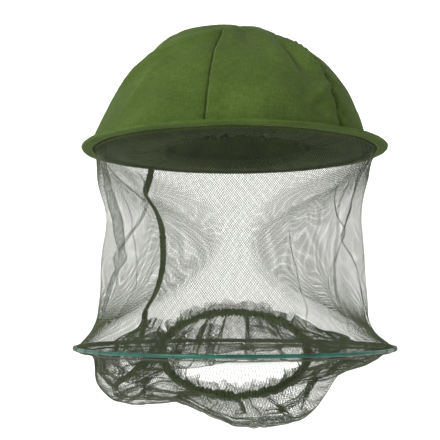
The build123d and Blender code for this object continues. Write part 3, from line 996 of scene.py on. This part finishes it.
def neck_point(azimuth, radius, rise):
    """Point on the tilted neck ring: centre + radius (side sin a - back cos a) + up rise."""
    return (neck_centre + radius[..., None] * (neck_side * np.sin(azimuth)[..., None]
                                               - neck_back * np.cos(azimuth)[..., None])
            + neck_up * rise[..., None])


bag_droop = {  # azimuth, then in mm: bulge radius and height, floor radius and height
    "azimuth": [-180, -135, -105, -90, -75, -62, -48, -32, -13, 0,
                12, 22, 30, 38, 44, 60, 75, 90, 135, 180],
    "bulge_r": [150, 150, 148, 146, 145, 145, 144, 140, 144, 146,
                146, 144, 142, 140, 142, 152, 155, 156, 150, 150],
    "bulge_z": [-228, -232, -236, -238, -240, -241, -240, -236, -240, -244,
                -246, -245, -243, -236, -226, -220, -219, -220, -226, -228],
    "floor_r": [130, 130, 132, 134, 132, 130, 126, 112, 116, 118,
                118, 120, 122, 122, 122, 136, 142, 144, 132, 130],
    "floor_z": [-236, -245, -251, -254, -258, -263, -263, -257, -269, -276,
                -280, -280, -276, -260, -238, -228, -226, -226, -232, -236],
}


def around_droop(azimuth, key):
    """A droop value at an azimuth: linear between stations, softened over 8 degrees."""
    degrees = np.degrees(turn_gap(azimuth, 0))
    total = sum(w * np.interp((degrees + o + 180) % 360 - 180, bag_droop["azimuth"], bag_droop[key])
                for o, w in zip((-4, -2, 0, 2, 4), (0.1, 0.25, 0.3, 0.25, 0.1)))
    return total * MM


print(f"bag hangs {-min(bag_droop['floor_z'])} mm below the frame's origin at its lowest")

# %% [markdown]
# ### A curve through stations
#
# Each strip of the bag follows seven stations. A Catmull-Rom curve goes through all of them
# without corners, and needs no solving, so it can be evaluated for the whole grid at once.

# %% Smooth curve through stations
def spline_at(stations, s):
    """Catmull-Rom curve through stations (k, ..., 2), evenly shared over s from 0 to 1."""
    count = len(stations) - 1
    before = 2 * stations[:1] - stations[1:2]
    beyond = 2 * stations[-1:] - stations[-2:-1]
    padded = np.concatenate([before, stations, beyond])
    x = np.clip(s, 0, 1) * count
    k = np.minimum(x.astype(int), count - 1)
    t = (x - k)[..., None]
    pair = 0 * padded[:1].astype(int)
    a, b, c, d = [np.take_along_axis(padded, (k + j)[None, ..., None] + pair, axis=0)[0]
                  for j in range(4)]
    return 0.5 * (2 * b + (c - a) * t + (2 * a - 5 * b + 4 * c - d) * t ** 2
                  + (3 * b - a - 3 * c + d) * t ** 3)


# %% [markdown]
# ### Pleats and tucks
#
# Pleats fan out from the neck, where the elastic gathers the net. Tucks are the slack folds that
# run round the bag where it lies on itself; the two in front make the dark diagonal bands.

# %% Pleats and tucks of the bag
rng = np.random.default_rng(77)
bag_pleats = [dict(path=[(a + rng.uniform(-12, 12), 0.05), (a + rng.uniform(-5, 5), 0.6), (a, 1.0)],
                   width=rng.uniform(0.008, 0.026), fold=rng.uniform(1.8, 2.7),
                   depth=rng.uniform(0.8, 1.8) * MM,
                   ends=(rng.uniform(-0.1, 0.55) + (0.45 if abs(a) < 62 else 0.0), 1.3))
              for a in np.arange(-176, 180, 9.5) + rng.uniform(-3, 3, 38)]


def tuck(azimuth, s, path, width, fold, depth, ends):
    """A fold that runs round the bag: (slide along s, outward shift), the same z-fold as a pleat
    but laid across the drop, along (azimuth in degrees, s) points and between two azimuths."""
    degrees = np.degrees(turn_gap(azimuth, 0))
    line = np.interp(degrees, [p[0] for p in path], [p[1] for p in path])
    t = (s - line) / width
    fade = np.clip((degrees - ends[0]) / 14, 0, 1) * np.clip((ends[1] - degrees) / 14, 0, 1)
    fade = fade * fade * (3 - 2 * fade)
    return -fold * fade * width * t / (1 + t * t / 9) * bump(t, 12), depth * fade * np.tanh(t) * bump(t, 6)


bag_tucks = [
    dict(path=[(-66, 0.80), (-30, 0.62), (8, 0.46), (24, 0.40)],
         width=0.034, fold=2.7, depth=3.4 * MM, ends=(-70, 30)),
    dict(path=[(-30, 0.86), (10, 0.74), (48, 0.70)],
         width=0.030, fold=2.4, depth=2.4 * MM, ends=(8, 56)),
    dict(path=[(-100, 0.40), (-62, 0.52), (-40, 0.60)],
         width=0.022, fold=2.5, depth=2.6 * MM, ends=(-120, -36)),
    dict(path=[(30, 0.52), (60, 0.62), (120, 0.55)],
         width=0.032, fold=2.7, depth=3.0 * MM, ends=(28, 130)),
    dict(path=[(60, 0.80), (110, 0.78), (179, 0.84)],
         width=0.036, fold=2.6, depth=3.0 * MM, ends=(50, 179)),
    dict(path=[(-179, 0.80), (-110, 0.72), (-64, 0.80)],
         width=0.038, fold=2.7, depth=3.2 * MM, ends=(-179, -60)),
    dict(path=[(-170, 0.52), (-120, 0.60), (-80, 0.66)],
         width=0.028, fold=2.5, depth=2.6 * MM, ends=(-176, -74)),
]
print(f"{len(bag_pleats)} pleats and {len(bag_tucks)} tucks in the bag")

# %% [markdown]
# ### The bag's surface
#
# Tucks slide a point along its strip, pleats slide it round the bag, and both lift it. The lift
# is limited to 3 mm by a tanh, so layers stay close together like real net.

# %% Bag surface
def bag(azimuth, s):
    """Point of the slack bag. s runs from 0 at the hoop band to 1 at the neck ring. Height and
    radius follow the seven stations; gathers grow towards the neck."""
    turn = azimuth.copy()
    out = 0.0
    place = s
    for fold in bag_tucks:
        slide, shift = tuck(azimuth, place, **fold)
        s = s + slide * np.clip(place * 6, 0, 1) * np.clip((1 - place) * 6, 0, 1)
        out = out + shift
    for fold in bag_pleats:
        slide, shift = pleat(azimuth, s, **fold)
        turn = turn + slide
        out = out + shift
    neck = neck_point(turn, neck_radius + 3.6 * MM + 0 * turn, -1.0 * MM + 0 * turn)
    neck_r = np.hypot(neck[..., 0], neck[..., 1])
    neck_z = neck[..., 2]
    bulge_r, bulge_z = around_droop(turn, "bulge_r"), around_droop(turn, "bulge_z")
    floor_r, floor_z = around_droop(turn, "floor_r"), around_droop(turn, "floor_z")
    stations = np.stack([np.stack(pair, -1) for pair in (
        (band_radius - 0.5 * MM + 0 * turn, band_foot + 0 * turn),
        (0.2 * band_radius + 0.8 * bulge_r, 0.75 * band_foot + 0.25 * bulge_z),
        (bulge_r, 0.3 * bulge_z + 0.7 * floor_z + 5 * MM),
        (floor_r, floor_z),
        (0.62 * floor_r + 0.38 * neck_r, 0.72 * floor_z + 0.28 * neck_z),
        (0.3 * floor_r + 0.7 * neck_r, 0.32 * floor_z + 0.68 * neck_z),
        (neck_r, neck_z))])
    curve = spline_at(stations, s)
    out = 3 * MM * np.tanh(out / (3 * MM))
    free = np.sin(np.pi * np.clip(s, 0, 1)) ** 0.7
    lobes = round_waves(azimuth, 2 * s, 61, [5, 7, 8, 11]) * free
    gathers = round_waves(azimuth, s, 62, [29, 37, 43, 53])
    gathers = gathers + 0.5 * round_waves(azimuth, 3 * s, 66, [71, 83, 97])
    gathers = gathers * np.clip((s - 0.3) / 0.7, 0, 1)
    radius = curve[..., 0] + out * 0.6 + 2.2 * MM * lobes
    height = curve[..., 1] + out * 0.8 + 1.6 * MM * lobes + 3.0 * MM * gathers * (1.1 - s)
    return np.stack([radius * np.sin(turn), -radius * np.cos(turn), height], -1)


# %% [markdown]
# ### Eight sectors
#
# The bag joins the hoop, which can be lifted, to the neck band, which slides. Each sector is a
# piece of its own that rides on no body, with its transform baked into its mesh.

# %% The eight sectors of the bag
bag_length = 0.150
bag_rows = 2 * round(bag_length / hole_height) + 1
sectors = 8
for k in range(sectors):
    name = f"bag_{k + 1}"
    part = columns[k * net_round // sectors:(k + 1) * net_round // sectors + 1]
    turn, s = np.meshgrid(-np.pi + 2 * np.pi * part / net_round, np.linspace(0, 1, bag_rows), indexing="ij")
    piece = link(name, net_mesh(name, bag(turn, s)), None, net_thread)
    middle = -np.pi + 2 * np.pi * (k + 0.5) / sectors
    outward = np.array([math.sin(middle), -math.cos(middle), 0.0])
    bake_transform(piece)
    if k == 0:
        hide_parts("bag_net")
print(f"bag: {sectors} sectors, {bag_rows // 2} rows of holes")

# %% [markdown]
# ### The doubled net at the neck
#
# The casing is the bag's own edge turned over, which leaves a second layer of net inside the
# last few centimetres before the neck. It lies a little deeper than the bag and its folds don't
# match the bag's, so the net looks twice as dense there.

# %% Doubled edge
def turning_edge(turn):
    """Where the doubled net starts, as s: a third of the way in front, well out at the sides and back."""
    behind = np.clip((np.abs(turn_gap(turn, 0)) - np.radians(38)) / np.radians(24), 0, 1)
    return 0.34 - 0.18 * behind * behind * (3 - 2 * behind)


def bag_turning(turn, share):
    """Point of the doubled net. share runs from 0 at its raw edge to 1 at the neck. It follows the
    bag at a drifting azimuth, and stands up from it: 3 mm in front, most at the rear quarters,
    but outside the neck band no more than 20 mm above the hoop, and less near the hoop, so it
    fits under the brim when the veil is packed flat. The limit is smooth: the height keeps
    4 log(1 + exp(room / 4)) mm below the ceiling."""
    edge = turning_edge(turn)
    s = edge + (1 - edge) * share
    drift = (0.035 * round_waves(turn, 2 * s, 63, [9, 14, 19, 27])
             + 0.012 * round_waves(turn, s, 64, [41, 57]))
    ragged = 0.07 * round_waves(turn, 0 * s, 65, [5, 9, 13, 22]) * (1 - share)
    points = bag(turn + drift, np.clip(s + ragged, 0.02, 1))
    behind = (0.34 - edge) / 0.18
    quarter = bump(np.abs(turn_gap(turn, 0)) - np.radians(112), np.radians(34))
    left_rear = bump(turn_gap(turn, np.radians(-103)), np.radians(26))
    uneven = 5 * behind * round_waves(turn, share, 67, [4, 7, 9, 15])
    stand = (3 + 9 * behind + 17 * quarter + 30 * left_rear + uneven) * MM
    points[..., 2] += stand * np.sin(np.pi * share ** 0.95) ** 1.2 + 1.0 * MM
    radius = np.hypot(points[..., 0], points[..., 1]) / MM
    ceiling = np.interp(radius, [0, 90, 106, 118, 138, 170], [52, 48, 20, 16, 6, 2])
    room = hoop_level + ceiling * MM - points[..., 2]
    points[..., 2] += room - 4 * MM * np.logaddexp(0, room / (4 * MM))
    return points


for k in range(sectors):
    name = f"bag_turning_{k + 1}"
    part = columns[k * net_round // sectors:(k + 1) * net_round // sectors + 1]
    part = -np.pi + 2 * np.pi * part / net_round
    turned_rows = 2 * round((1 - turning_edge(part).mean()) * 0.9 * bag_length / hole_height) + 1
    turn, share = np.meshgrid(part, np.linspace(0, 1, turned_rows), indexing="ij")
    piece = link(name, net_mesh(name, bag_turning(turn, share)), None, net_thread)
    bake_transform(piece)

# %% [markdown]
# ## The neck band
#
# The elastic runs in a channel of gathered net, a lumpy soft ring. Above it stands the ruffle:
# the free edge of the same net, in two layers that flare and lean differently.

# %% Gathered channel round the elastic
azimuth, around = np.meshgrid(np.linspace(0, 2 * np.pi, 1100, endpoint=False),
                              np.linspace(0, 2 * np.pi, 21), indexing="ij")
folds = (round_waves(azimuth, np.sin(around), 71, [89, 107, 131, 149])
         + 0.7 * round_waves(azimuth, 2 * np.sin(around), 72, [23, 31, 47, 61]))
section = (3.5 + 0.9 * folds) * MM
radius = neck_radius + section * np.cos(around) + 0.8 * MM * round_waves(azimuth, 0, 73, [9, 14, 21])
rise = section * (1.25 + 0.3 * round_waves(azimuth, 0, 74, [7, 12, 26])) * np.sin(around)
channel = link("neck_gathers", grid_mesh("neck_gathers", neck_point(azimuth, radius, rise), closed=True),
               "neck", gathered_net)
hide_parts("neck_channel")

# %% Ruffle, in two layers
for k, (tallness, lean, seed, rise_rows) in enumerate(((11.5, 1.0, 81, 8), (9.5, -1.6, 91, 8))):
    turn, share = np.meshgrid(2 * np.pi * columns / net_round, np.linspace(0, 1, rise_rows), indexing="ij")
    frill = round_waves(turn, share, seed, [13, 19, 24, 29])
    frill = frill + 0.3 * round_waves(turn, share, seed + 1, [47, 61])
    tall = (tallness + 2.8 * round_waves(turn, 0, seed + 2, [7, 11, 16, 25])) * MM
    radius = neck_radius + lean * MM + (1.8 + 4.2 * share) * MM * frill
    name = f"neck_frill_{k + 1}"
    ruffle = link(name, net_mesh(name, neck_point(turn, radius, 2.6 * MM + share * tall)),
                  "neck", net_thread)
    if k == 0:
        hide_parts("neck_ruffle")

# %% [markdown]
# ## Floor and light
#
# A pale paper bowl stands round the veil, so no edge shows from any side. Its back half glows a
# little, like paper lit from behind.

# %% Paper bowl
def bowl_points():
    """A bowl round the veil: flat floor of radius 2.2 m, a quarter circle of 1.5 m, then a wall."""
    turn, t = np.meshgrid(np.linspace(0, 2 * np.pi, 96, endpoint=False),
                          np.linspace(0, 1, 40), indexing="ij")
    bend = np.clip((t - 0.3) / 0.5, 0, 1) * np.pi / 2
    radius = np.where(t < 0.3, 2.2 * t / 0.3, 2.2 + 1.5 * np.sin(bend)) + 0.0002
    height = 1.5 * (1 - np.cos(bend)) + np.clip((t - 0.8) / 0.2, 0, 1) * 3.5
    return np.stack([radius * np.sin(turn), -radius * np.cos(turn), height + floor_height], -1)


floor_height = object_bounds()[0][2] - 0.15
sweep_mesh = grid_mesh("sweep", bowl_points(), closed=True)
paper, tree, shader = new_material("matt white paper", roughness=0.95, specular=0.1)
shader.inputs["Base Color"].default_value = linear("#f2f2f0")
shader.inputs["Emission Color"].default_value = (1, 1, 1, 1)
place = node(tree, "ShaderNodeTexCoord").outputs["Object"]
depth = node(tree, "ShaderNodeSeparateXYZ", [("Vector", place)]).outputs["Y"]
glow = node(tree, "ShaderNodeMapRange", [("Value", depth)], From_Min=-2.0, From_Max=0.0,
            To_Min=0.05, To_Max=0.48)
tree.links.new(glow.outputs["Result"], shader.inputs["Emission Strength"])
sweep_mesh.materials.append(paper)
sweep = bpy.data.objects.new("sweep", sweep_mesh)
bpy.context.scene.collection.objects.link(sweep)

# %% [markdown]
# ### Lamps and surround
#
# Light comes from a soft panel in front and to the left, a weak one at the right, a wide one
# above and behind that lights the brim's edge, and an even pale surround.

# %% Lamps and surround
def panel(name, place, size, power, aim=(0, 0, -0.05)):
    """A square soft lamp that faces a point."""
    data = bpy.data.lights.new(name, "AREA")
    data.size = size
    data.energy = power
    lamp = bpy.data.objects.new(name, data)
    bpy.context.scene.collection.objects.link(lamp)
    lamp.location = place
    offset = np.array(aim) - np.array(place)
    lamp.rotation_euler = (math.acos(-offset[2] / np.linalg.norm(offset)), 0,
                           math.atan2(offset[1], offset[0]) - math.pi / 2)
    return lamp


panel("key", (-1.25, -1.25, 1.05), 0.45, 40)
panel("fill", (1.3, -1.3, 0.1), 1.0, 2.5)
panel("behind", (0.0, 1.4, 1.6), 1.6, 8)

world = bpy.data.worlds.new("surround")
world.use_nodes = True
world.node_tree.nodes["Background"].inputs["Color"].default_value = (1, 1, 1, 1)
world.node_tree.nodes["Background"].inputs["Strength"].default_value = 0.15
bpy.context.scene.world = world
bpy.context.scene.view_settings.view_transform = "Standard"
